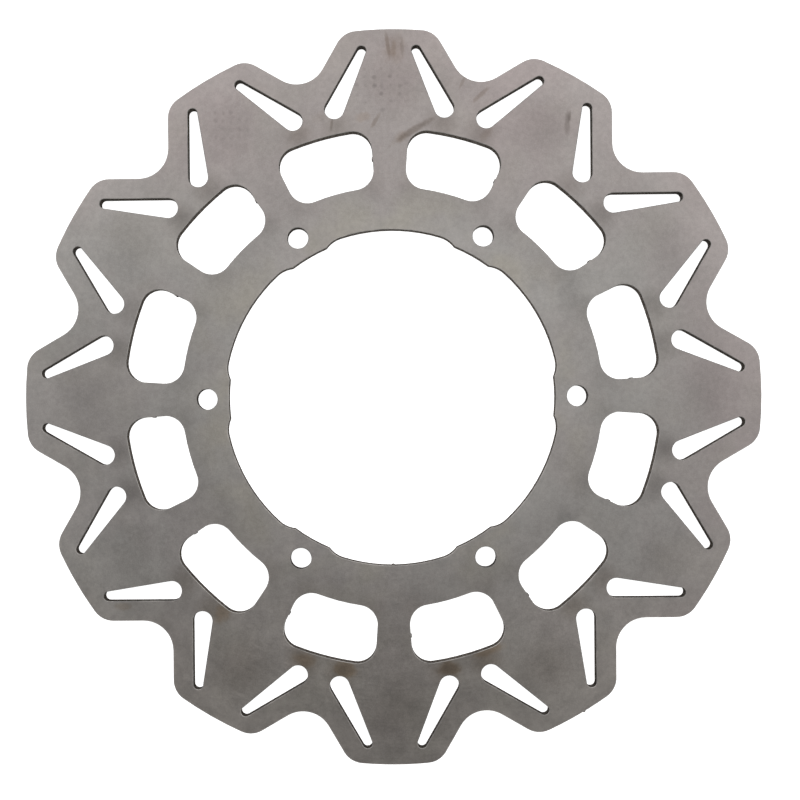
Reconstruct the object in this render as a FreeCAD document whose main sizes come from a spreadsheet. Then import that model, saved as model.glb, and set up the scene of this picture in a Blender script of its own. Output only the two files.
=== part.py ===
"""One-piece motorcycle brake disc, a flat plate of ground stainless steel.

The rim has twelve lobes with ninety-degree valleys between them. Each lobe carries a pair
of tapered wiper slots, and twelve windows lighten the disc inside its brake track. Six
bolts clamp the disc to a wheel hub, and six lands on the bore centre it there. Small
pips on the cut walls are where the outline of each opening closed when it was cut.

The disc is six equal sectors. One sector is drawn about +X, from the middle of one lobe at
-30 degrees to the middle of another at +30, with a whole lobe, a bolt hole and a land on +X
between them. Its two halves mirror each other.

Frame: millimetres, the disc's axis is +Z, and the origin is the centre of the bore in the
plane of the hub face.
"""

import FreeCAD, Part
import math
import os
import Sketcher

NODE = "brake_disc"
SHEET = "Dimensions"
ROOT = (-1, 1)  # the sketcher's name for a sketch's origin point
X_AXIS = -1  # and for its horizontal axis

# Driving dimensions: alias, value in millimetres, degrees or a count, and its meaning.
DIMENSIONS = [
    ("disc_thickness", 5.0, "thickness of the plate"),
    ("outer_diameter", 298.0, "diameter over the lobes"),
    ("sector_count", 6, "hub bolts and lands, and half the count of lobes and windows"),
    ("valley_angle", 90.0, "angle between the two flanks of a valley"),
    ("valley_root_radius", 132.1, "from the axis to the bottom of a valley"),
    ("valley_fillet", 12.1, "round at the bottom of a valley"),
    ("lobe_fillet", 9.3, "round where a flank meets the outer diameter"),
    ("slot_wall", 8.1, "metal between a flank and the slot beside it"),
    ("slot_tip_margin", 6.2, "metal between a slot's tip and the outer diameter"),
    ("slot_tip_radius", 1.95, "round at a slot's narrow outer end"),
    ("slot_root_radius", 4.0, "round at a slot's wide inner end"),
    ("slot_length", 26.0, "between the centres of a slot's two rounds"),
    ("window_inner_radius", 85.25, "from the axis to a window's inner side"),
    ("window_outer_radius", 108.9, "from the axis to a window's outer side"),
    ("window_half_angle", 10.92, "from a window's middle to its radial side"),
    ("window_inner_fillet", 8.0, "round at a window's inner corners"),
    ("window_outer_fillet", 7.8, "round at a window's outer corners"),
    ("bolt_circle", 150.0, "pitch diameter of the hub bolts"),
    ("bolt_hole", 8.5, "diameter of a clearance hole for an M8 bolt"),
    ("bore_diameter", 132.5, "diameter over the lands that fit the hub"),
    ("land_half_angle", 6.9, "from a land's middle to its edge"),
    ("relief_depth", 1.9, "how far the bore steps back between lands"),
    ("relief_fillet", 11.0, "run-out of a relief at the land beside it"),
    ("edge_break", 0.2, "chamfer along every edge of both faces"),
    ("pip_radius", 0.7, "radius of a cutting pip"),
    ("pip_height", 0.4, "how far a pip stands out of its wall"),
    ("window_pip_radius", 97.2, "from the axis to the pip on a window's side"),
    ("rim_pip_angle", -59.0, "place of the pip on the rim, from +X"),
    ("bore_pip_angle", -90.0, "place of the pip on the bore, from +X"),
]


def make_sheet(doc):
    """Writes the spreadsheet, and returns its values by alias for the first layouts."""
    sheet = doc.addObject("Spreadsheet::Sheet", SHEET)
    for row, (alias, value, meaning) in enumerate(DIMENSIONS, start=1):
        sheet.set(f"A{row}", meaning)
        sheet.set(f"B{row}", str(value))
        sheet.setAlias(f"B{row}", alias)
    doc.recompute()
    return {alias: float(value) for alias, value, _ in DIMENSIONS}


def polar(radius, degrees):
    """A point of the disc's plane, from its distance to the axis and angle from +X."""
    angle = math.radians(degrees)
    return FreeCAD.Vector(radius * math.cos(angle), radius * math.sin(angle), 0)


def origin_feature(body, role):
    return next(feature for feature in body.Origin.OriginFeatures if feature.Role == role)


def new_sketch(body, name):
    """An empty sketch in the plane of the hub face."""
    sketch = body.newObject("Sketcher::SketchObject", name)
    sketch.AttachmentSupport = [(origin_feature(body, "XY_Plane"), "")]
    sketch.MapMode = "FlatFace"
    return sketch


def constrain(sketch, *definition):
    return sketch.addConstraint(Sketcher.Constraint(*definition))


def drive(sketch, name, expression, *definition):
    """Adds a named dimension to the sketch and binds it to the spreadsheet."""
    index = constrain(sketch, *definition)
    sketch.renameConstraint(index, name)
    sketch.setExpression(f"Constraints.{name}", expression)


def add_line(sketch, start, end, construction=False):
    return sketch.addGeometry(Part.LineSegment(start, end), construction)


def add_circle(sketch, centre, radius):
    circle = Part.Circle(centre, FreeCAD.Vector(0, 0, 1), radius)
    return sketch.addGeometry(circle, False)


def add_arc(sketch, centre, radius, first, last):
    """An arc that runs anticlockwise between two angles in degrees."""
    circle = Part.Circle(centre, FreeCAD.Vector(0, 0, 1), radius)
    arc = Part.ArcOfCircle(circle, math.radians(first), math.radians(last))
    return sketch.addGeometry(arc, False)


def add_spoke(sketch, name, radius, degrees, length_rule, angle_rule):
    """A construction line from the axis outwards; its far end marks a place."""
    spoke = add_line(sketch, polar(0, 0), polar(radius, degrees), construction=True)
    constrain(sketch, "Coincident", spoke, 1, *ROOT)
    drive(sketch, f"{name}_radius", length_rule, "Distance", spoke, radius)
    drive(sketch, f"{name}_angle", angle_rule, "Angle", spoke, math.radians(degrees))
    return spoke


def solve(doc, sketch):
    """Solves a finished sketch, which has to be left with no freedom at all."""
    doc.recompute()
    if not sketch.FullyConstrained:
        raise RuntimeError(f"{sketch.Name} is not fully constrained")


def cut_through(doc, body, sketch, name):
    """A pocket through the whole plate, checked to have taken metal away."""
    solve(doc, sketch)
    volume = body.Shape.Volume
    pocket = body.newObject("PartDesign::Pocket", name)
    pocket.Profile = sketch
    pocket.Type = "ThroughAll"
    pocket.Midplane = True
    doc.recompute()
    if body.Shape.Volume >= volume:
        raise RuntimeError(f"{name} cut nothing")
    return pocket


def add_upright(doc, body, sketch, name):
    """A pad that stops short of both faces by the edge break, checked to add metal."""
    sketch.setExpression("AttachmentOffset.Base.z", f"{SHEET}.edge_break")
    solve(doc, sketch)
    volume = body.Shape.Volume
    pad = body.newObject("PartDesign::Pad", name)
    pad.Profile = sketch
    pad.setExpression("Length", f"{SHEET}.disc_thickness - 2 * {SHEET}.edge_break")
    doc.recompute()
    if body.Shape.Volume <= volume:
        raise RuntimeError(f"{name} added nothing")
    return pad


def repeat_round_axis(doc, body, name, count_rule, feature=None):
    """Repeats one feature evenly round the disc, or else the whole shape so far."""
    pattern = body.newObject("PartDesign::PolarPattern", name)
    if feature is None:
        pattern.TransformMode = "Whole shape"
    else:
        pattern.Originals = [feature]
    pattern.Axis = (origin_feature(body, "Z_Axis"), [""])
    pattern.Angle = 360
    pattern.setExpression("Occurrences", count_rule)
    body.Tip = pattern
    doc.recompute()


def on_seam(size, point):
    """Whether a point lies in one of the two planes where a sector meets its neighbours."""
    seam = math.radians(180 / size["sector_count"])
    return abs(abs(math.atan2(point.y, point.x)) - seam) < 1e-6


def round_uprights(doc, body, size, radius, name, cell):
    """Fillets the edges that run through the plate at one distance from the axis."""
    base = body.Tip
    names = []
    for number, edge in enumerate(base.Shape.Edges, start=1):
        low, high = edge.Vertexes[0].Point, edge.Vertexes[-1].Point
        upright = math.hypot(low.x - high.x, low.y - high.y) < 1e-6
        here = abs(math.hypot(low.x, low.y) - radius) < 1e-3
        if upright and here and not on_seam(size, low):
            names.append(f"Edge{number}")
    fillet = body.newObject("PartDesign::Fillet", name)
    fillet.Base = (base, names)
    fillet.setExpression("Radius", f"{SHEET}.{cell}")
    doc.recompute()


def valley_apex(size):
    """Where the two flanks of the sector's upper valley would meet if left sharp."""
    half = math.radians(size["valley_angle"] / 2)
    bite = size["valley_fillet"] * (1 / math.sin(half) - 1)
    return polar(size["valley_root_radius"] - bite, 90 / size["sector_count"])


# The same place as sheet expressions: its distance from the axis, and its angle.
HALF_VALLEY = f"({SHEET}.valley_angle / 2 * 1 deg)"
APEX_RADIUS = (f"{SHEET}.valley_root_radius"
               f" - {SHEET}.valley_fillet * (1 / sin({HALF_VALLEY}) - 1)")
APEX_ANGLE = f"(90 / {SHEET}.sector_count * 1 deg)"


def make_blank(doc, body, size):
    """One sector of the ring between the bore and the rim, over the full thickness."""
    seam = 180 / size["sector_count"]
    bore_radius = size["bore_diameter"] / 2
    rim_radius = size["outer_diameter"] / 2
    sketch = new_sketch(body, "BlankSketch")
    bore = add_arc(sketch, polar(0, 0), bore_radius, -seam, seam)
    rim = add_arc(sketch, polar(0, 0), rim_radius, -seam, seam)
    for arc in (bore, rim):
        constrain(sketch, "Coincident", arc, 3, *ROOT)
    for name, sign, arc_end in (("low_seam", -1, 1), ("high_seam", 1, 2)):
        side = add_line(sketch, polar(bore_radius, sign * seam), polar(rim_radius, sign * seam))
        constrain(sketch, "Coincident", side, 1, bore, arc_end)
        constrain(sketch, "Coincident", side, 2, rim, arc_end)
        constrain(sketch, "PointOnObject", *ROOT, side)
        drive(sketch, name, f"{sign} * 180 / {SHEET}.sector_count * 1 deg",
              "Angle", side, math.radians(sign * seam))
    drive(sketch, "bore", f"{SHEET}.bore_diameter / 2", "Radius", bore, bore_radius)
    drive(sketch, "rim", f"{SHEET}.outer_diameter / 2", "Radius", rim, rim_radius)
    solve(doc, sketch)
    pad = body.newObject("PartDesign::Pad", "Blank")
    pad.Profile = sketch
    pad.setExpression("Length", f"{SHEET}.disc_thickness")
    doc.recompute()


def cut_valley(doc, body, size):
    """The V between the +X lobe and the next one, with its corners still sharp."""
    middle = 90 / size["sector_count"]
    half = size["valley_angle"] / 2
    apex = valley_apex(size)
    reach = 2 * (size["outer_diameter"] / 2 - apex.Length)
    low_end = apex + polar(reach, middle - half)
    high_end = apex + polar(reach, middle + half)

    sketch = new_sketch(body, "ValleySketch")
    spoke = add_spoke(sketch, "apex", apex.Length, middle, APEX_RADIUS, APEX_ANGLE)
    low_flank = add_line(sketch, apex, low_end)
    mouth = add_line(sketch, low_end, high_end)
    high_flank = add_line(sketch, high_end, apex)
    constrain(sketch, "Coincident", low_flank, 1, spoke, 2)
    constrain(sketch, "Coincident", low_flank, 2, mouth, 1)
    constrain(sketch, "Coincident", mouth, 2, high_flank, 1)
    constrain(sketch, "Coincident", high_flank, 2, low_flank, 1)
    constrain(sketch, "Perpendicular", mouth, spoke)
    drive(sketch, "low_flank", f"{APEX_ANGLE} - {HALF_VALLEY}",
          "Angle", low_flank, math.radians(middle - half))
    drive(sketch, "high_flank", f"{APEX_ANGLE} + {HALF_VALLEY} + 180 deg",
          "Angle", high_flank, math.radians(middle + half + 180))
    drive(sketch, "reach", f"{SHEET}.outer_diameter - 2 * ({APEX_RADIUS})",
          "Distance", low_flank, reach)
    return cut_through(doc, body, sketch, "Valley")


def draw_slot(sketch, size, side):
    """One slot beside the upper valley: side is -1 for its low flank, 1 for its high one."""
    tip_radius = size["slot_tip_radius"]
    root_radius = size["slot_root_radius"]
    middle = 90 / size["sector_count"]
    half = size["valley_angle"] / 2
    taper = math.degrees(math.asin((root_radius - tip_radius) / size["slot_length"]))
    apex = valley_apex(size)
    along = polar(1, middle + side * half)  # out along the flank
    beside = apex + polar(size["slot_wall"] + tip_radius, middle + side * (half + 90))
    tip_reach = size["outer_diameter"] / 2 - size["slot_tip_margin"] - tip_radius
    step = beside.dot(along)
    tip = beside + along * (math.sqrt(step**2 - beside.dot(beside) + tip_reach**2) - step)
    heading = middle + side * (half - taper)
    root = tip - polar(size["slot_length"], heading)
    quarter = 90 - taper

    name = "high" if side > 0 else "low"
    spoke = add_spoke(sketch, f"{name}_apex", apex.Length, middle, APEX_RADIUS, APEX_ANGLE)
    flank = add_line(sketch, apex, apex + along * size["slot_length"], construction=True)
    constrain(sketch, "Coincident", flank, 1, spoke, 2)
    drive(sketch, f"{name}_flank", f"{APEX_ANGLE} + {side} * {HALF_VALLEY}",
          "Angle", flank, math.radians(middle + side * half))
    drive(sketch, f"{name}_flank_length", f"{SHEET}.slot_length",
          "Distance", flank, size["slot_length"])

    tip_end = add_arc(sketch, tip, tip_radius, heading - quarter, heading + quarter)
    root_end = add_arc(sketch, root, root_radius, heading + quarter, heading + 360 - quarter)
    left = add_line(sketch, root + polar(root_radius, heading + quarter),
                    tip + polar(tip_radius, heading + quarter))
    right = add_line(sketch, root + polar(root_radius, heading - quarter),
                     tip + polar(tip_radius, heading - quarter))
    constrain(sketch, "Tangent", left, 1, root_end, 1)
    constrain(sketch, "Tangent", left, 2, tip_end, 2)
    constrain(sketch, "Tangent", right, 1, root_end, 2)
    constrain(sketch, "Tangent", right, 2, tip_end, 1)

    flank_side = right if side > 0 else left
    constrain(sketch, "Parallel", flank_side, flank)
    drive(sketch, f"{name}_wall", f"{SHEET}.slot_wall",
          "Distance", flank_side, 1, flank, size["slot_wall"])
    drive(sketch, f"{name}_tip", f"{SHEET}.slot_tip_radius", "Radius", tip_end, tip_radius)
    drive(sketch, f"{name}_root", f"{SHEET}.slot_root_radius",
          "Radius", root_end, root_radius)
    drive(sketch, f"{name}_length", f"{SHEET}.slot_length",
          "Distance", tip_end, 3, root_end, 3, size["slot_length"])
    drive(sketch, f"{name}_reach",
          f"{SHEET}.outer_diameter / 2 - {SHEET}.slot_tip_margin - {SHEET}.slot_tip_radius",
          "Distance", *ROOT, tip_end, 3, tip_reach)


def cut_slots(doc, body, size):
    """The wiper slots on the two sides of a valley, each along the flank beside it."""
    sketch = new_sketch(body, "SlotSketch")
    draw_slot(sketch, size, -1)
    draw_slot(sketch, size, 1)
    return cut_through(doc, body, sketch, "Slots")


def cut_window(doc, body, size):
    """The window inside the valley, a sector of a ring with its corners still sharp."""
    inner_radius = size["window_inner_radius"]
    outer_radius = size["window_outer_radius"]
    middle = 90 / size["sector_count"]
    low = middle - size["window_half_angle"]
    high = middle + size["window_half_angle"]

    sketch = new_sketch(body, "WindowSketch")
    inner = add_arc(sketch, polar(0, 0), inner_radius, low, high)
    outer = add_arc(sketch, polar(0, 0), outer_radius, low, high)
    for arc in (inner, outer):
        constrain(sketch, "Coincident", arc, 3, *ROOT)
    for name, angle, sign, arc_end in (("low_side", low, "-", 1), ("high_side", high, "+", 2)):
        side = add_line(sketch, polar(inner_radius, angle), polar(outer_radius, angle))
        constrain(sketch, "Coincident", side, 1, inner, arc_end)
        constrain(sketch, "Coincident", side, 2, outer, arc_end)
        constrain(sketch, "PointOnObject", *ROOT, side)
        drive(sketch, name, f"{APEX_ANGLE} {sign} {SHEET}.window_half_angle * 1 deg",
              "Angle", side, math.radians(angle))
    drive(sketch, "inner", f"{SHEET}.window_inner_radius", "Radius", inner, inner_radius)
    drive(sketch, "outer", f"{SHEET}.window_outer_radius", "Radius", outer, outer_radius)
    return cut_through(doc, body, sketch, "Window")


def cut_relief(doc, body, size):
    """The shallow step in the bore between two lands, with a run-out at each of them."""
    bore_radius = size["bore_diameter"] / 2
    floor_radius = bore_radius + size["relief_depth"]
    fillet = size["relief_fillet"]
    centre_radius = floor_radius - fillet
    pitch = 360 / size["sector_count"]
    swing = math.degrees(math.acos((bore_radius**2 + centre_radius**2 - fillet**2)
                                   / (2 * bore_radius * centre_radius)))
    low_edge, high_edge = size["land_half_angle"], pitch - size["land_half_angle"]
    low_corner, high_corner = polar(bore_radius, low_edge), polar(bore_radius, high_edge)
    low_centre = polar(centre_radius, low_edge + swing)
    high_centre = polar(centre_radius, high_edge - swing)
    low_ray, high_ray = low_corner - low_centre, high_corner - high_centre

    sketch = new_sketch(body, "ReliefSketch")
    low_spoke = add_spoke(sketch, "low_corner", bore_radius, low_edge,
                          f"{SHEET}.bore_diameter / 2", f"{SHEET}.land_half_angle * 1 deg")
    high_spoke = add_spoke(sketch, "high_corner", bore_radius, high_edge,
                           f"{SHEET}.bore_diameter / 2",
                           f"(360 / {SHEET}.sector_count - {SHEET}.land_half_angle) * 1 deg")
    floor = add_arc(sketch, polar(0, 0), floor_radius, low_edge + swing, high_edge - swing)
    low_run = add_arc(sketch, low_centre, fillet,
                      math.degrees(math.atan2(low_ray.y, low_ray.x)), low_edge + swing)
    high_run = add_arc(sketch, high_centre, fillet, high_edge - swing,
                       math.degrees(math.atan2(high_ray.y, high_ray.x)))
    chord = add_line(sketch, low_corner, high_corner)
    constrain(sketch, "Coincident", floor, 3, *ROOT)
    constrain(sketch, "Tangent", low_run, 2, floor, 1)
    constrain(sketch, "Tangent", high_run, 1, floor, 2)
    constrain(sketch, "Coincident", low_run, 1, low_spoke, 2)
    constrain(sketch, "Coincident", high_run, 2, high_spoke, 2)
    constrain(sketch, "Coincident", chord, 1, low_run, 1)
    constrain(sketch, "Coincident", chord, 2, high_run, 2)
    drive(sketch, "floor", f"{SHEET}.bore_diameter / 2 + {SHEET}.relief_depth",
          "Radius", floor, floor_radius)
    drive(sketch, "low_run", f"{SHEET}.relief_fillet", "Radius", low_run, fillet)
    drive(sketch, "high_run", f"{SHEET}.relief_fillet", "Radius", high_run, fillet)
    return cut_through(doc, body, sketch, "Relief")


def mirror_half(doc, body, features):
    """The same features in the lower half of the sector."""
    mirror = body.newObject("PartDesign::Mirrored", "LowerHalf")
    mirror.Originals = features
    mirror.MirrorPlane = (origin_feature(body, "XZ_Plane"), [""])
    body.Tip = mirror
    doc.recompute()


def cut_bolt_hole(doc, body, size):
    """The plain hole for a hub bolt."""
    pitch_radius = size["bolt_circle"] / 2
    sketch = new_sketch(body, "BoltHoleSketch")
    hole = add_circle(sketch, polar(pitch_radius, 0), size["bolt_hole"] / 2)
    constrain(sketch, "PointOnObject", hole, 3, X_AXIS)
    drive(sketch, "pitch", f"{SHEET}.bolt_circle / 2",
          "DistanceX", *ROOT, hole, 3, pitch_radius)
    drive(sketch, "hole", f"{SHEET}.bolt_hole", "Diameter", hole, size["bolt_hole"])
    cut_through(doc, body, sketch, "BoltHole")


def break_edges(doc, body, size):
    """A small chamfer along the edges of both faces, all but those at the seams."""
    base = body.Tip
    names = []
    for number, edge in enumerate(base.Shape.Edges, start=1):
        box = edge.BoundBox
        at_face = min(abs(box.ZMin), abs(box.ZMin - size["disc_thickness"])) < 1e-6
        seam = all(on_seam(size, vertex.Point) for vertex in edge.Vertexes)
        if at_face and box.ZLength < 1e-6 and not seam:
            names.append(f"Edge{number}")
    chamfer = body.newObject("PartDesign::Chamfer", "EdgeBreak")
    chamfer.Base = (base, names)
    chamfer.setExpression("Size", f"{SHEET}.edge_break")
    doc.recompute()


def add_window_pips(doc, body, size):
    """One pip on the side of each window, part of the way along it."""
    sunk = size["pip_radius"] - size["pip_height"]
    low = 90 / size["sector_count"] - size["window_half_angle"]
    station = size["window_pip_radius"]
    centre = polar(station, low) + polar(sunk, low - 90)

    sketch = new_sketch(body, "WindowPipSketch")
    spoke = add_spoke(sketch, "side", station, low, f"{SHEET}.window_pip_radius",
                      f"{APEX_ANGLE} - {SHEET}.window_half_angle * 1 deg")
    sink = add_line(sketch, polar(station, low), centre, construction=True)
    pip = add_circle(sketch, centre, size["pip_radius"])
    constrain(sketch, "Coincident", sink, 1, spoke, 2)
    constrain(sketch, "Coincident", sink, 2, pip, 3)
    constrain(sketch, "Perpendicular", sink, spoke)
    drive(sketch, "sunk", f"{SHEET}.pip_radius - {SHEET}.pip_height", "Distance", sink, sunk)
    drive(sketch, "pip", f"{SHEET}.pip_radius", "Radius", pip, size["pip_radius"])

    pip = add_upright(doc, body, sketch, "WindowPip")
    repeat_round_axis(doc, body, "WindowPips", f"2 * {SHEET}.sector_count", feature=pip)


def add_outline_pips(doc, body, size):
    """One pip on the rim and one on the floor of a relief in the bore."""
    sunk = size["pip_radius"] - size["pip_height"]
    sunk_rule = f"({SHEET}.pip_radius - {SHEET}.pip_height)"
    rim_radius = size["outer_diameter"] / 2 - sunk
    bore_radius = size["bore_diameter"] / 2 + size["relief_depth"] + sunk

    sketch = new_sketch(body, "OutlinePipSketch")
    rim_spoke = add_spoke(sketch, "rim", rim_radius, size["rim_pip_angle"],
                          f"{SHEET}.outer_diameter / 2 - {sunk_rule}",
                          f"{SHEET}.rim_pip_angle * 1 deg")
    bore_spoke = add_spoke(sketch, "bore", bore_radius, size["bore_pip_angle"],
                           f"{SHEET}.bore_diameter / 2 + {SHEET}.relief_depth + {sunk_rule}",
                           f"{SHEET}.bore_pip_angle * 1 deg")
    for name, spoke, radius, angle in (
            ("rim_pip", rim_spoke, rim_radius, size["rim_pip_angle"]),
            ("bore_pip", bore_spoke, bore_radius, size["bore_pip_angle"])):
        pip = add_circle(sketch, polar(radius, angle), size["pip_radius"])
        constrain(sketch, "Coincident", pip, 3, spoke, 2)
        drive(sketch, name, f"{SHEET}.pip_radius", "Radius", pip, size["pip_radius"])
    add_upright(doc, body, sketch, "OutlinePips")


def check_document(doc, body):
    """Stops unless every object recomputed cleanly into one sound solid."""
    failed = [f"{item.Name}: {item.State}" for item in doc.Objects
              if "Invalid" in item.State or "Error" in item.State]
    if failed:
        raise RuntimeError("; ".join(failed))
    shape = body.Shape
    if shape.isNull() or not shape.isValid() or len(shape.Solids) != 1:
        raise RuntimeError(f"{body.Label} is not one valid solid")


def main():
    doc = FreeCAD.newDocument("BrakeDisc")
    size = make_sheet(doc)
    body = doc.addObject("PartDesign::Body", "BrakeDisc")
    body.Label = NODE
    body.Placement = FreeCAD.Placement()

    make_blank(doc, body, size)
    upper_half = [cut(doc, body, size) for cut in (cut_valley, cut_slots, cut_window, cut_relief)]
    mirror_half(doc, body, upper_half)
    cut_bolt_hole(doc, body, size)
    for name, radius, cell in (
            ("ValleyRoots", valley_apex(size).Length, "valley_fillet"),
            ("LobeCorners", size["outer_diameter"] / 2, "lobe_fillet"),
            ("WindowInnerCorners", size["window_inner_radius"], "window_inner_fillet"),
            ("WindowOuterCorners", size["window_outer_radius"], "window_outer_fillet")):
        round_uprights(doc, body, size, radius, name, cell)
    break_edges(doc, body, size)
    repeat_round_axis(doc, body, "Sectors", f"{SHEET}.sector_count")

    add_window_pips(doc, body, size)
    add_outline_pips(doc, body, size)
    doc.recompute()
    check_document(doc, body)
    os.makedirs("parts", exist_ok=True)
    body.Shape.exportStep(f"parts/{body.Label}.step")
    box = body.Shape.BoundBox
    print(f"{body.Label}: {box.XLength:.2f} x {box.YLength:.2f} x {box.ZLength:.2f} mm,"
          f" {body.Shape.Volume / 1000:.1f} cm3")


main()
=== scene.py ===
"""Looks of the brake disc: ground steel on a bright white table, seen from above.

The disc's shape is the CAD node's own. This script gives it one material with three zones
and sets up the camera, the table and the light.
"""

import math

import bpy
from mathutils import Matrix, Vector


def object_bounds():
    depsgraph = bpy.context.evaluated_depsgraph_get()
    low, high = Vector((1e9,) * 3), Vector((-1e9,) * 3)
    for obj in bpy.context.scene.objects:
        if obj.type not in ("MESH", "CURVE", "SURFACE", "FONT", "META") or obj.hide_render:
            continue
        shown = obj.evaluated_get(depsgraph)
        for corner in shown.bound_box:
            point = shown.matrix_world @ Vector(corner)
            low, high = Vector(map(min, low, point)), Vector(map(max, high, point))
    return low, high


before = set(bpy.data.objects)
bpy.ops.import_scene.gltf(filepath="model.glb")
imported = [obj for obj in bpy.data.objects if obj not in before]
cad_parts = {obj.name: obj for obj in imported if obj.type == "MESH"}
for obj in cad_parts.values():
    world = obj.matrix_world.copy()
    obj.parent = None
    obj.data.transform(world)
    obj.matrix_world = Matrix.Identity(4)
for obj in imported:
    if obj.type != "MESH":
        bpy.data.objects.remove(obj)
cad_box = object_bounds()

MM = 0.001
DISC = "brake_disc"
TOP = cad_box[1][2]  # height of the disc's top face


# --- camera --------------------------------------------------------------------------------

CAMERA_OFFSET = Vector((-4.2, -9.9)) * MM  # where the camera stands over the disc's plane
CAMERA_HEIGHT = 480 * MM  # above the hub face
CAMERA_LEAN = Vector((-0.0160, -0.00655))  # sideways part of the view direction
CAMERA_ROLL = math.radians(-0.53)
SENSOR_WIDTH = 36  # mm
FOCAL_LENGTH = 52.76  # mm
CAMERA_SHIFT = (0.0462, 0.0374)


def add_camera():
    """Looks almost straight down, a little off the disc's axis as the photographer stood."""
    forward = Vector((*CAMERA_LEAN, -1)).normalized()
    right = Vector((math.cos(CAMERA_ROLL), math.sin(CAMERA_ROLL), 0))
    right = (right - forward * right.dot(forward)).normalized()
    up = right.cross(forward)
    data = bpy.data.cameras.new("camera")
    data.lens = FOCAL_LENGTH
    data.sensor_width = SENSOR_WIDTH
    data.shift_x, data.shift_y = CAMERA_SHIFT
    camera = bpy.data.objects.new("camera", data)
    turn = Matrix((right, up, -forward)).transposed().to_4x4()
    camera.matrix_world = Matrix.Translation((*CAMERA_OFFSET, CAMERA_HEIGHT)) @ turn
    bpy.context.collection.objects.link(camera)
    bpy.context.scene.camera = camera


# --- node trees ----------------------------------------------------------------------------

def add_node(tree, kind, inputs=None, **settings):
    """Adds a shader node. inputs gives each socket a constant or another node's output."""
    node = tree.nodes.new(kind)
    for name, value in settings.items():
        setattr(node, name, value)
    for key, value in (inputs or {}).items():
        if isinstance(value, bpy.types.NodeSocket):
            tree.links.new(value, node.inputs[key])
        else:
            node.inputs[key].default_value = value
    return node


def calc(tree, operation, *values):
    """One step of arithmetic on constants or other nodes' outputs."""
    return add_node(tree, "ShaderNodeMath", dict(enumerate(values)), operation=operation).outputs[0]


def ramp(tree, value, start, end, low=0.0, high=1.0):
    """Goes smoothly from low to high as the value goes from start to end."""
    reach = {"Value": value, "From Min": start, "From Max": end, "To Min": low, "To Max": high}
    return add_node(tree, "ShaderNodeMapRange", reach,
                    interpolation_type="SMOOTHSTEP").outputs["Result"]


def swing(tree, noise, amount, middle=1.0, spread=0.2):
    """Turns noise around 0.5 into a value that swings by that amount around the middle."""
    return ramp(tree, noise, 0.5 - spread, 0.5 + spread, middle - amount, middle + amount)


def darken(tree, tone, share, depth):
    """The tone, less that depth of it wherever the share is 1."""
    return calc(tree, "MULTIPLY", tone, calc(tree, "MULTIPLY_ADD", share, -depth, 1))


def mix(tree, share, first, second, blend="MIX"):
    """The first colour, with that share of the second laid over it."""
    return add_node(tree, "ShaderNodeMix", {0: share, 6: first, 7: second},
                    data_type="RGBA", blend_type=blend).outputs[2]


def mix_values(tree, share, first, second):
    """The same as mix, for plain numbers."""
    return add_node(tree, "ShaderNodeMix", {0: share, 2: first, 3: second},
                    data_type="FLOAT").outputs[0]


def split(tree, vector):
    """The X, Y and Z of a vector."""
    return add_node(tree, "ShaderNodeSeparateXYZ", {"Vector": vector}).outputs


def join(tree, x, y):
    """The vector of an X and a Y, with a Z of 0."""
    return add_node(tree, "ShaderNodeCombineXYZ", {"X": x, "Y": y}).outputs["Vector"]


def distance(tree, where, point):
    """How far the coordinates are from a point."""
    return add_node(tree, "ShaderNodeVectorMath", {0: where, 1: point},
                    operation="DISTANCE").outputs["Value"]


def stretch(tree, where, scale, turn=(0, 0, 0), centre=(0, 0, 0)):
    """Coordinates about a centre, turned and then scaled along each axis."""
    shifted = add_node(tree, "ShaderNodeVectorMath", {0: where, 1: centre},
                       operation="SUBTRACT").outputs["Vector"]
    turned = add_node(tree, "ShaderNodeVectorRotate", {"Vector": shifted, "Rotation": turn},
                      rotation_type="EULER_XYZ").outputs["Vector"]
    return add_node(tree, "ShaderNodeVectorMath", {0: turned, 1: scale},
                    operation="MULTIPLY").outputs["Vector"]


# Every noise in the steel: size of its blotches (mm), detail, roughness, seed.
NOISES = {
    "fine": (0.45, 3, 0.55, 1),
    "grit": (1.7, 2, 0.55, 6),
    "blotch": (7, 4, 0.6, 2),
    "cloud": (38, 5, 0.62, 5),
    "haze": (26, 2, 0.55, 8),
    "shade_chance": (45, 2, 0.55, 3),
    "broken": (3.5, 4, 0.55, 11),
    "straw": (22, 2, 0.55, 14),
    "streaks": (0.45, 3, 0.55, 21),
    "grinding": (0.5, 2, 0.55, 31),
}


def mottle(tree, where, name):
    """Soft random blotches, from 0 to 1 around 0.5."""
    size, detail, roughness, seed = NOISES[name]
    return add_node(tree, "ShaderNodeTexNoise", {
        "Vector": where, "W": seed, "Scale": 1 / (size * MM), "Detail": detail,
        "Roughness": roughness}, noise_dimensions="4D").outputs["Fac"]


# --- stage ---------------------------------------------------------------------------------

FLOOR_REACH = 4  # metres to each side
FLOOR_GAP = 0.05 * MM  # below the disc, so that the two faces don't flicker
FLOOR_LOOK = {
    "Base Color": (0.8, 0.8, 0.8, 1),
    "Roughness": 0.9,
    "Specular IOR Level": 0.1,
    "Emission Color": (1, 1, 1, 1),
    "Emission Strength": 0.95,
}


def add_floor():
    """A white table that glows a little, so that the disc throws no dark shadow on it."""
    mesh = bpy.data.meshes.new("floor")
    corners = [(-1, -1), (1, -1), (1, 1), (-1, 1)]
    mesh.from_pydata([(x * FLOOR_REACH, y * FLOOR_REACH, 0) for x, y in corners], [],
                     [(0, 1, 2, 3)])
    floor = bpy.data.objects.new("floor", mesh)
    floor.location.z = -FLOOR_GAP
    bpy.context.collection.objects.link(floor)
    material = bpy.data.materials.new("floor")
    material.use_nodes = True
    shader = material.node_tree.nodes["Principled BSDF"]
    for name, value in FLOOR_LOOK.items():
        shader.inputs[name].default_value = value
    mesh.materials.append(material)


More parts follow.
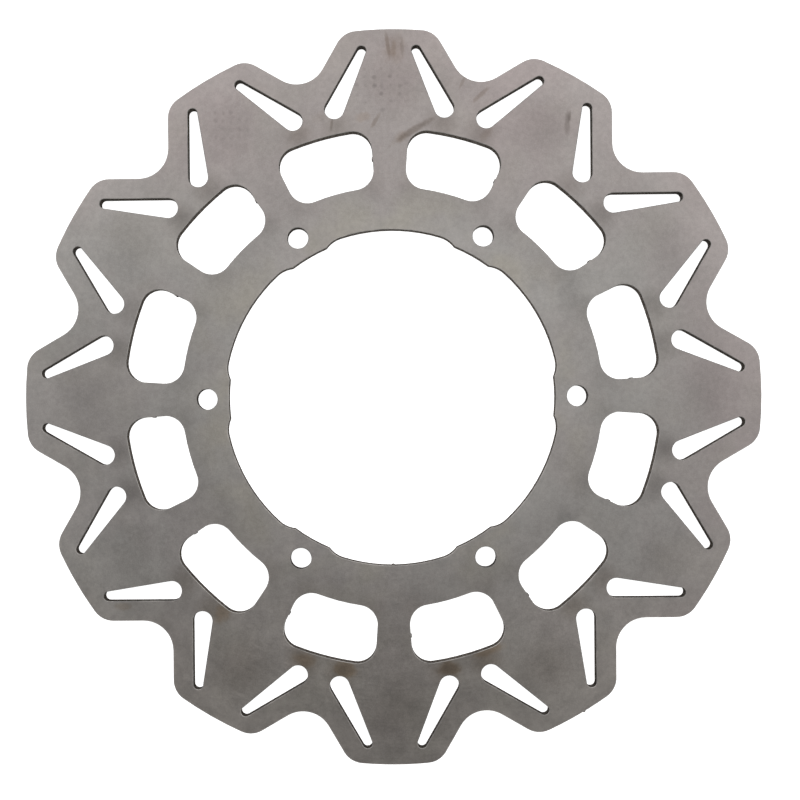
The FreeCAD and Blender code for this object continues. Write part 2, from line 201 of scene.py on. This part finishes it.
BRIGHT_SIDE = (0.2, 0.98, 0)  # the tent is brightest on this side
SKY_DARK, SKY_BRIGHT = 0.02, 1.3  # overhead, on the dark side and on the bright side
SKY_SPREAD = 0.4  # overhead, the brightness settles this far to either side
WALLS_TOP, WALLS_BASE = 0.78, 0.5  # Z of a direction, from all roof to all wall
WALLS_NEAR, WALLS_FAR = 1.0, 1.5  # the walls, on the dark side and on the bright side


def light_studio():
    """A soft white tent, brighter on the far side of the disc than on the near side."""
    bpy.context.scene.view_settings.view_transform = "Standard"
    world = bpy.data.worlds.new("studio")
    bpy.context.scene.world = world
    world.use_nodes = True
    tree = world.node_tree
    direction = add_node(tree, "ShaderNodeTexCoord").outputs["Generated"]
    towards = add_node(tree, "ShaderNodeVectorMath", {0: direction, 1: BRIGHT_SIDE},
                       operation="DOT_PRODUCT").outputs["Value"]
    roof = ramp(tree, towards, -SKY_SPREAD, SKY_SPREAD, SKY_DARK, SKY_BRIGHT)
    walls = ramp(tree, towards, -1, 1, WALLS_NEAR, WALLS_FAR)
    low = ramp(tree, split(tree, direction)["Z"], WALLS_TOP, WALLS_BASE)
    background = tree.nodes["Background"]
    background.inputs["Color"].default_value = (1, 1, 1, 1)
    tree.links.new(mix_values(tree, low, roof, walls), background.inputs["Strength"])


# --- the disc's steel ----------------------------------------------------------------------

FACE_LEVEL = 0.95  # a surface is a ground face above this upright part of its normal
WALL_LEVEL = 0.4  # and a cut wall below this; the chamfer lies between them

GROUND = (0.358, 0.342, 0.326, 1)  # ground faces
NO_TINT = (1, 1, 1, 1)
PINK_TINT = (1.035, 0.94, 0.962, 1)  # the tints multiply GROUND
STRAW_TINT = (1.02, 1.0, 0.94, 1)  # mostly round the bore
HEAT_TINT = (1.08, 0.95, 0.80, 1)  # brown where the shade and the marks below are burnt in
CUT_WALL_OXIDE_AND_SHADE = (0.033, 0.0282, 0.0245, 1)  # laser-cut walls, burnt dark, and darker still as painted shade inside the slots and openings
CUT_STREAK = (0.104, 0.092, 0.081, 1)  # and paler where the cut left its streaks
BROKEN_EDGE = (0.19, 0.185, 0.18, 1)  # the small chamfer along every edge

# How the ground faces' brightness swings: noise, amount, spread.
TONE_SWINGS = [
    ("blotch", 0.045, 0.2),
    ("fine", 0.08, 0.25),
    ("grit", 0.05, 0.2),
    ("haze", 0.035, 0.2),
]

HALF_PITCH = math.radians(15)  # half of one lobe
SHADE_CHANCE = 0.3  # how far the shade below differs from lobe to lobe

# Where the ground faces grow paler, hotter or tinted: coordinate (mm) where the change starts,
# coordinate where it is full, value before the start, value when full.
PALE_BORE = (84, 68, 0.967, 1.05)  # along the radius, times the tone
PALE_RIM = (128, 146, 0, 0.1)  # along the radius, on top of PALE_BORE
HEAT_NEAR = (-40, -115, 0.1, 1)  # along Y
HEAT_FAR = (40, 115, 0, 0.25)
PINK_FAR = (50, 115, 0, 0.6)
PINK_NEAR = (-55, -125, 0, 0.4)
PINK_RIGHT = (95, 140, 0, 0.5)  # along X
PINK_CLOUD = (0.15, 0.1, 0.14)  # amount, middle and spread of its swing
STRAW_NEAR = (-50, -125, 0, 0.5)  # along Y
STRAW_BORE = (92, 68, 0.25, 1)  # along the radius
STRAW_CLOUD = (0.45, 0.7)  # the noise from where straw starts to where it is full
STREAK_CONTRAST = (0.3, 0.75)  # the same for the walls' streaks
EDGE_CONTRAST = (0.35, 0.65)  # and for where the chamfer is as pale as the faces

# Shade that repeats on every half lobe: x, y with the lobe along x, reach (mm), how dark, how
# much heat colour.
SHADES = [
    (124.5, 0, 17, 0.11, 0.1),  # the middle of the lobe
    (110.2, 21.2, 9.5, 0.24, 0.4),  # the web between a slot and a window
    (85.5, 8.0, 8, 0.13, 0.15),  # beside the window's inner corner
]

# Broad uneven places on the top face: x, y, reach (mm), how dark (below 0: paler).
PATCHES = [
    (0, 149, 36, 0.13),
    (0, -149, 48, 0.15),
    (10, -100, 60, 0.07),
    (-104, 76, 48, -0.09),
    (-118, -58, 48, -0.09),
]

# Marks on the top face: x, y, half length, half width (mm), direction (degrees), how dark, how
# brown. The upper ones are wiped-off smears, the lower ones burns between slots and windows.
MARKS = [
    (9.3, 107.6, 12.5, 1.9, 32, 0.34, 0.3),
    (4.5, 105.0, 5, 2.6, 34, 0.12, 0.3),
    (-5.6, 112.0, 4, 1.3, 58, 0.24, 0.3),
    (-10.5, 113.6, 4.5, 2.6, 12, 0.09, 0.3),
    (-0.4, 142.8, 7.0, 1.0, 98, 0.24, 0.3),
    (2.0, 140.4, 4.6, 1.6, 88, 0.16, 0.3),
    (5.4, 141.4, 5.2, 1.1, 93, 0.18, 0.1),
    (2.6, 141.0, 7.5, 5.6, 90, 0.14, 0.25),
    (71.9, 110.6, 7.5, 1.6, 86, 0.26, 0.1),
    (72.6, 112.6, 3.6, 0.8, 82, 0.22, 0.1),
    (37.3, 122.2, 6.0, 1.3, 42, 0.22, 0.3),
    (29.5, 126.8, 4.0, 1.0, 62, 0.18, 0.2),
    (71.5, 40.0, 9, 6.0, 70, 0.10, 0.0),
    (-23.4, 110.6, 3.6, 0.8, 84, 0.24, 0.2),
    (-28.5, 113.6, 4.0, 2.4, 20, 0.08, 0.1),
    (39.0, 106.0, 5.0, 2.2, 46, 0.14, 0.2),
    (-36.5, 106.5, 6.0, 4.0, 20, 0.06, 0.1),
    (-19.9, -110.2, 6.0, 4.2, 0, 0.26, 1.0),
    (22.4, -110.2, 6.5, 4.2, 0, 0.34, 0.8),
    (38.0, -102.6, 8.0, 3.4, 18, 0.16, 0.8),
    (-36.4, -106.0, 6.5, 4.0, -20, 0.12, 0.6),
    (-69.6, -87.0, 6.0, 4.0, 60, 0.14, 0.7),
    (-110.0, -84.0, 4.0, 2.2, 0, 0.14, 0.4),
]
MARK_EDGE = (1.5, 0.8)  # from where a mark starts to where it is full, with the noise added

# Patches of dried drops: x, y, radius (mm), depth.
SPLASHES = [
    (-4.5, 126, 15, 0.42),
    (-67, 111, 14, 0.26),
    (-24, 118, 11, 0.22),
]
DROP_PITCH = 3.4 * MM
DROP_CHANCE = 0.3  # how far the drops lie from an even grid
DROP_EDGE = (0.42, 0.2)  # in pitches, from where a drop starts to where it is full
SPLASH_CORE = 0.3  # share of a patch's radius where its drops are strongest

STREAK_LENGTH = 0.12  # a wall's streaks are drawn out by 1 over this, down through the plate
GRINDING_TURN = 4 * MM  # a radian round the disc counts as this, which draws rings out of noise

ROUGHNESS = 0.43
WALL_ROUGHER = 0.2
ROUGH_SWINGS = [("grinding", 0.03), ("blotch", 0.02)]
FINE_ROUGHNESS = 0.04  # the swing of the fine grain round ROUGHNESS

GRAIN_SHARE, GRINDING_SHARE = 0.6, 0.4  # of the faces' relief
STREAK_RELIEF = 4  # the walls' relief, against the faces'
RELIEF_DEPTH = 0.02 * MM
RELIEF_STRENGTH = 0.35


def grow(tree, value, start, full, low, high):
    """A ramp over a coordinate, whose ends are given in millimetres."""
    return ramp(tree, value, start * MM, full * MM, low, high)


def add_shade(tree, tone, where, x, y, radius):
    """Darkens every half lobe alike, with some chance in how much. Gives tone and heat."""
    folded = calc(tree, "PINGPONG", calc(tree, "ARCTAN2", y, x), HALF_PITCH)
    spot = join(tree, calc(tree, "MULTIPLY", radius, calc(tree, "COSINE", folded)),
                calc(tree, "MULTIPLY", radius, calc(tree, "SINE", folded)))
    rings = calc(tree, "ADD", grow(tree, radius, *PALE_BORE), grow(tree, radius, *PALE_RIM))
    tone = calc(tree, "MULTIPLY", rings, tone)
    chance = swing(tree, mottle(tree, where, "shade_chance"), SHADE_CHANCE)
    heat = 0.0
    for centre_x, centre_y, reach, depth, burnt in SHADES:
        away = distance(tree, spot, (centre_x * MM, centre_y * MM, 0))
        near = calc(tree, "MULTIPLY", ramp(tree, away, reach * MM, 0), chance)
        tone = darken(tree, tone, near, depth)
        heat = calc(tree, "MULTIPLY_ADD", near, burnt, heat)
    hot = calc(tree, "ADD", grow(tree, y, *HEAT_NEAR), grow(tree, y, *HEAT_FAR))
    return tone, calc(tree, "MULTIPLY", heat, hot)


def add_marks(tree, tone, heat, where):
    """Broad patches, then marks of handling and cutting with broken outlines, then drops."""
    for x, y, reach, depth in PATCHES:
        away = distance(tree, where, (x * MM, y * MM, TOP))
        tone = calc(tree, "MULTIPLY", tone, ramp(tree, away, reach * MM, 0, 1, 1 - depth))
    broken = mottle(tree, where, "broken")
    for x, y, half_length, half_width, direction, depth, burnt in MARKS:
        scale = (1 / (half_length * MM), 1 / (half_width * MM), 0)
        near = stretch(tree, where, scale, (0, 0, -math.radians(direction)), (x * MM, y * MM, 0))
        away = add_node(tree, "ShaderNodeVectorMath", {0: near}, operation="LENGTH")
        edge = calc(tree, "ADD", away.outputs["Value"], broken)
        inside = ramp(tree, edge, *MARK_EDGE)
        tone = darken(tree, tone, inside, depth)
        heat = calc(tree, "MULTIPLY_ADD", inside, burnt, heat)
    drops = add_node(tree, "ShaderNodeTexVoronoi", {
        "Vector": where, "Scale": 1 / DROP_PITCH, "Randomness": DROP_CHANCE})
    drop = ramp(tree, drops.outputs["Distance"], *DROP_EDGE)
    for x, y, reach, depth in SPLASHES:
        away = distance(tree, where, (x * MM, y * MM, TOP))
        dark = ramp(tree, away, reach * MM, SPLASH_CORE * reach * MM, 0, depth)
        dark = calc(tree, "MULTIPLY", calc(tree, "MULTIPLY", dark, drop), broken)
        tone = calc(tree, "MULTIPLY", tone, calc(tree, "SUBTRACT", 1, dark))
    return tone, heat


def tint_steel(tree, heat, where, x, y, radius):
    """The ground faces' colour before light and shade: pinkish, straw and brown places."""
    pink = calc(tree, "ADD", grow(tree, y, *PINK_FAR), grow(tree, y, *PINK_NEAR))
    pink = calc(tree, "ADD", pink, grow(tree, x, *PINK_RIGHT))
    pink = calc(tree, "ADD", pink, swing(tree, mottle(tree, where, "cloud"), *PINK_CLOUD))
    colour = mix(tree, pink, NO_TINT, PINK_TINT)
    straw = calc(tree, "MULTIPLY", ramp(tree, mottle(tree, where, "straw"), *STRAW_CLOUD),
                 grow(tree, radius, *STRAW_BORE))
    straw = calc(tree, "ADD", straw, grow(tree, y, *STRAW_NEAR))
    colour = mix(tree, straw, colour, STRAW_TINT)
    colour = mix(tree, heat, colour, mix(tree, 1.0, colour, HEAT_TINT, "MULTIPLY"))
    return mix(tree, 1.0, colour, GROUND, "MULTIPLY")


def colour_ground(tree, noises, is_top, where, x, y, radius):
    """The ground faces' colour. Only the top face has the marks."""
    tone = 1.0
    for name, amount, spread in TONE_SWINGS:
        tone = calc(tree, "MULTIPLY", tone, swing(tree, noises[name], amount, spread=spread))
    shaded, burnt = add_shade(tree, tone, where, x, y, radius)
    marked, marked_heat = add_marks(tree, shaded, burnt, where)
    tone = mix_values(tree, is_top, shaded, marked)
    heat = mix_values(tree, is_top, burnt, marked_heat)
    grey = add_node(tree, "ShaderNodeCombineColor", {"Red": tone, "Green": tone, "Blue": tone})
    return mix(tree, 1.0, tint_steel(tree, heat, where, x, y, radius), grey.outputs["Color"],
               "MULTIPLY")


def make_steel():
    """Ground faces, laser-cut walls and broken edges, told apart by how steep they are."""
    material = bpy.data.materials.new("ground_steel")
    material.use_nodes = True
    tree = material.node_tree
    shader = tree.nodes["Principled BSDF"]
    shader.inputs["Specular IOR Level"].default_value = 0

    facing = add_node(tree, "ShaderNodeNewGeometry").outputs["True Normal"]
    upright = split(tree, facing)["Z"]
    level = calc(tree, "ABSOLUTE", upright)
    is_face = calc(tree, "GREATER_THAN", level, FACE_LEVEL)
    is_wall = calc(tree, "LESS_THAN", level, WALL_LEVEL)
    is_top = calc(tree, "GREATER_THAN", upright, FACE_LEVEL)

    where = add_node(tree, "ShaderNodeTexCoord").outputs["Object"]
    x, y, _ = split(tree, where)
    radius = calc(tree, "SQRT", calc(tree, "ADD", calc(tree, "MULTIPLY", x, x),
                                     calc(tree, "MULTIPLY", y, y)))
    around = join(tree, radius, calc(tree, "MULTIPLY", calc(tree, "ARCTAN2", y, x),
                                     GRINDING_TURN))
    noises = {name: mottle(tree, where, name) for name, _, _ in TONE_SWINGS}
    noises["grinding"] = mottle(tree, around, "grinding")
    streaks = mottle(tree, stretch(tree, where, (1, 1, STREAK_LENGTH)), "streaks")

    ground = colour_ground(tree, noises, is_top, where, x, y, radius)
    # the walls' colour is their burnt oxide plus painted shade of the narrow slots and openings
    wall = mix(tree, ramp(tree, streaks, *STREAK_CONTRAST), CUT_WALL_OXIDE_AND_SHADE, CUT_STREAK)
    edge = mix(tree, ramp(tree, noises["blotch"], *EDGE_CONTRAST), BROKEN_EDGE, GROUND)
    colour = mix(tree, is_wall, mix(tree, is_face, edge, ground), wall)
    tree.links.new(colour, shader.inputs["Base Color"])
    tree.links.new(calc(tree, "SUBTRACT", 1, is_wall), shader.inputs["Metallic"])

    rough = swing(tree, noises["fine"], FINE_ROUGHNESS, ROUGHNESS)
    for name, amount in ROUGH_SWINGS:
        rough = calc(tree, "ADD", rough, swing(tree, noises[name], amount, 0))
    rough = calc(tree, "ADD", rough, calc(tree, "MULTIPLY", is_wall, WALL_ROUGHER))
    tree.links.new(rough, shader.inputs["Roughness"])

    grain = calc(tree, "ADD", calc(tree, "MULTIPLY", noises["fine"], GRAIN_SHARE),
                 calc(tree, "MULTIPLY", noises["grinding"], GRINDING_SHARE))
    height = mix_values(tree, is_wall, grain, calc(tree, "MULTIPLY", streaks, STREAK_RELIEF))
    bump = add_node(tree, "ShaderNodeBump", {
        "Height": height, "Strength": RELIEF_STRENGTH, "Distance": RELIEF_DEPTH})
    tree.links.new(bump.outputs["Normal"], shader.inputs["Normal"])
    return material


add_camera()
add_floor()
light_studio()

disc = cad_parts[DISC]
disc.material_slots[0].material = make_steel()
